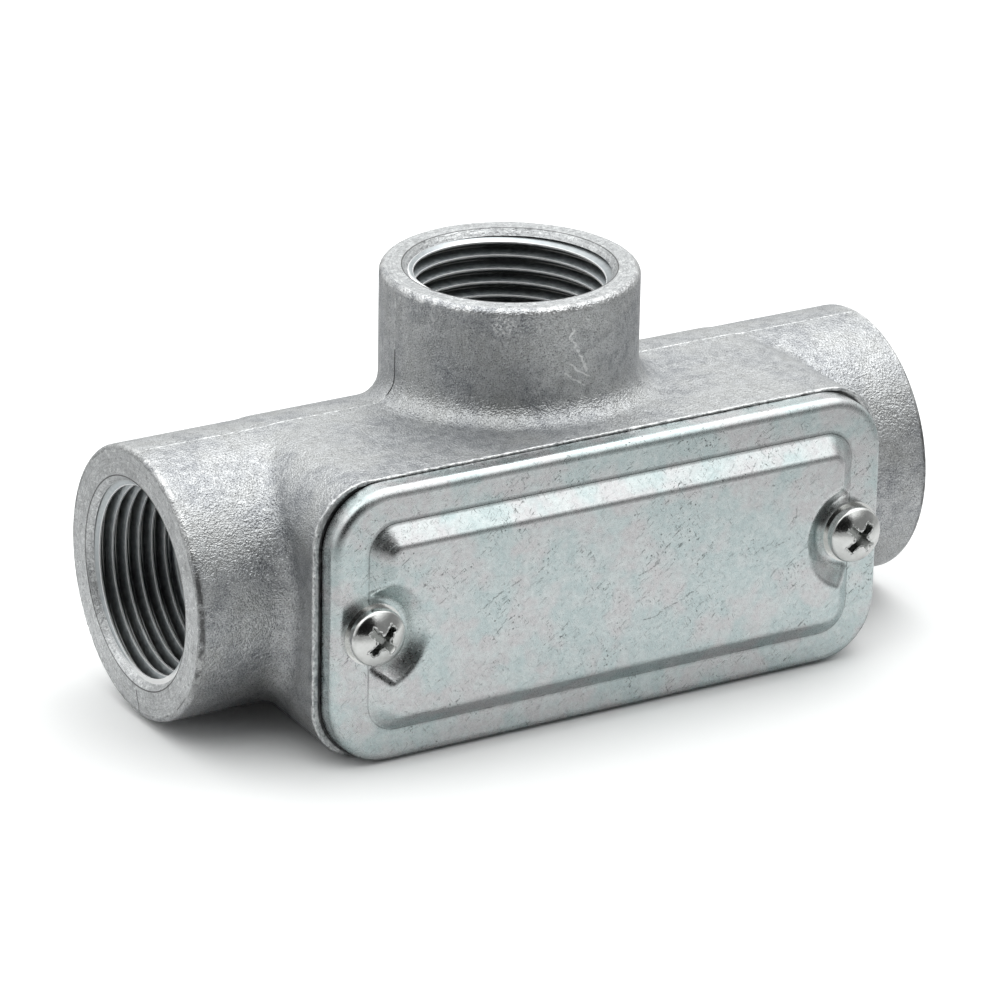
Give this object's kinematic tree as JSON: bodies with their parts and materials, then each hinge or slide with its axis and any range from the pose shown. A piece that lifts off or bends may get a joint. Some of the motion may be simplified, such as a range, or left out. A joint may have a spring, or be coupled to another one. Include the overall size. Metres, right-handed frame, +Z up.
{
  "type": "conduit body",
  "caption": "Type T conduit body: a cast wiring chamber with three threaded hubs, closed by a stamped cover held by two pan head screws.",
  "frame": {"origin": "on the ground under the middle of the outline", "axes": "+X along the run, +Z up the branch hub, -Y out through the cover"},
  "size_m": [0.13, 0.0586, 0.0628],
  "materials": {
    "cast_aluminium": "fine-grained matte casting",
    "plated_steel": "satin zinc plate with light scuffs",
    "screw_steel": "bright plate"
  },
  "bodies": {
    "casting": {"body_casting": "cast_aluminium"},
    "cover": {"cover": "plated_steel"},
    "washer_left": {"washer_left": "screw_steel"},
    "washer_right": {"washer_right": "screw_steel"},
    "screw_left": {"screw_left": "screw_steel"},
    "screw_right": {"screw_right": "screw_steel"}
  },
  "joints": [
    {"name": "cover_lift", "type": "slide", "parent": "casting", "child": "cover", "axis": [0, -1, 0], "range_m": [0, 0.04]},
    {"name": "screw_left_back_out", "type": "slide", "parent": "cover", "child": "washer_left", "axis": [0, -1, 0], "range_m": [0, 0.0104]},
    {"name": "screw_left_turn", "type": "hinge", "parent": "washer_left", "child": "screw_left", "pos_m": [-0.0423, -0.02608, 0.0224], "axis": [0, -1, 0], "range_deg": [0, 4725]},
    {"name": "screw_right_back_out", "type": "slide", "parent": "cover", "child": "washer_right", "axis": [0, -1, 0], "range_m": [0, 0.0104]},
    {"name": "screw_right_turn", "type": "hinge", "parent": "washer_right", "child": "screw_right", "pos_m": [0.0423, -0.02608, 0.0224], "axis": [0, -1, 0], "range_deg": [0, 4725]}
  ],
  "couplings": [
    {"joint": "screw_left_turn", "follows": "screw_left_back_out", "rad_per_m": 7915.8},
    {"joint": "screw_right_turn", "follows": "screw_right_back_out", "rad_per_m": 7915.8}
  ]
}
